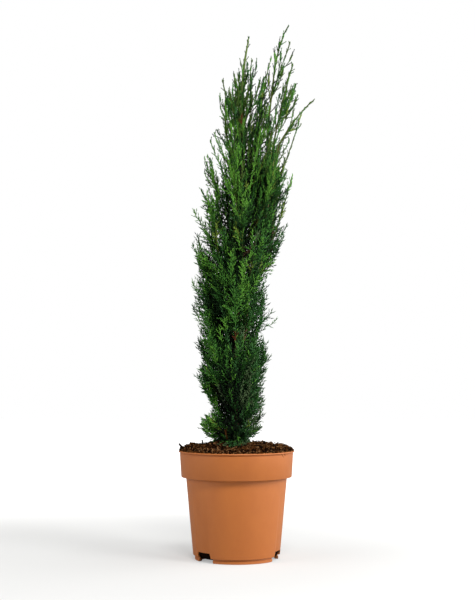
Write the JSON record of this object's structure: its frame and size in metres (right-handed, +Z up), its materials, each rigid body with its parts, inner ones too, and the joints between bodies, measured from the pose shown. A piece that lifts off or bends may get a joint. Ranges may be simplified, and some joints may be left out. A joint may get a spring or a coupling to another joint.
{
  "type": "potted italian cypress",
  "caption": "Slim young Italian cypress of upright feathery plumes round one leaning trunk, growing in a round tapered terracotta-coloured nursery pot.",
  "frame": {"origin": "middle of the pot's flat underside, on the ground", "axes": "+Z up along the trunk, +X to the side that the leading shoots lean to, -Y to the front"},
  "size_m": [0.2253, 0.19, 0.8852],
  "materials": {
    "pot_plastic": "terracotta-coloured matte polypropylene",
    "potting_soil": "moist peat and coir compost",
    "bark": "thin reddish-brown bark in fine strips",
    "foliage": "scale leaves in dense sprays, green, yellower at the top and bluer at the foot"
  },
  "bodies": {
    "root": {"pot": "pot_plastic", "soil": "potting_soil", "trunk": "bark", "mass_01": "foliage", "mass_02": "foliage", "mass_03": "foliage", "mass_04": "foliage", "mass_05": "foliage", "mass_06": "foliage", "mass_07": "foliage", "mass_08": "foliage", "mass_09": "foliage", "mass_10": "foliage", "bough_mass_11": "bark", "mass_11": "foliage", "mass_12": "foliage", "mass_13": "foliage", "mass_14": "foliage", "bough_mass_15": "bark", "mass_15": "foliage", "mass_16": "foliage", "mass_17": "foliage", "mass_18": "foliage", "bough_mass_19": "bark", "mass_19": "foliage", "mass_20": "foliage", "mass_21": "foliage", "mass_22": "foliage", "bough_mass_23": "bark", "mass_23": "foliage", "mass_24": "foliage", "mass_25": "foliage", "mass_26": "foliage", "bough_mass_27": "bark", "mass_27": "foliage", "mass_28": "foliage", "mass_29": "foliage", "mass_30": "foliage", "mass_31": "foliage", "mass_32": "foliage", "mass_33": "foliage", "mass_34": "foliage", "mass_35": "foliage", "mass_36": "foliage", "bough_leader": "bark", "leader": "foliage", "bough_upper_middle": "bark", "upper_middle": "foliage", "bough_upper_right": "bark", "upper_right": "foliage", "bough_side_shoot": "bark", "side_shoot": "foliage", "right_shoulder": "foliage", "left_skirt": "foliage", "right_skirt": "foliage", "top_left": "foliage", "top_front": "foliage", "top_back": "foliage", "top_middle": "foliage", "top_right": "foliage"}
  },
  "joints": []
}
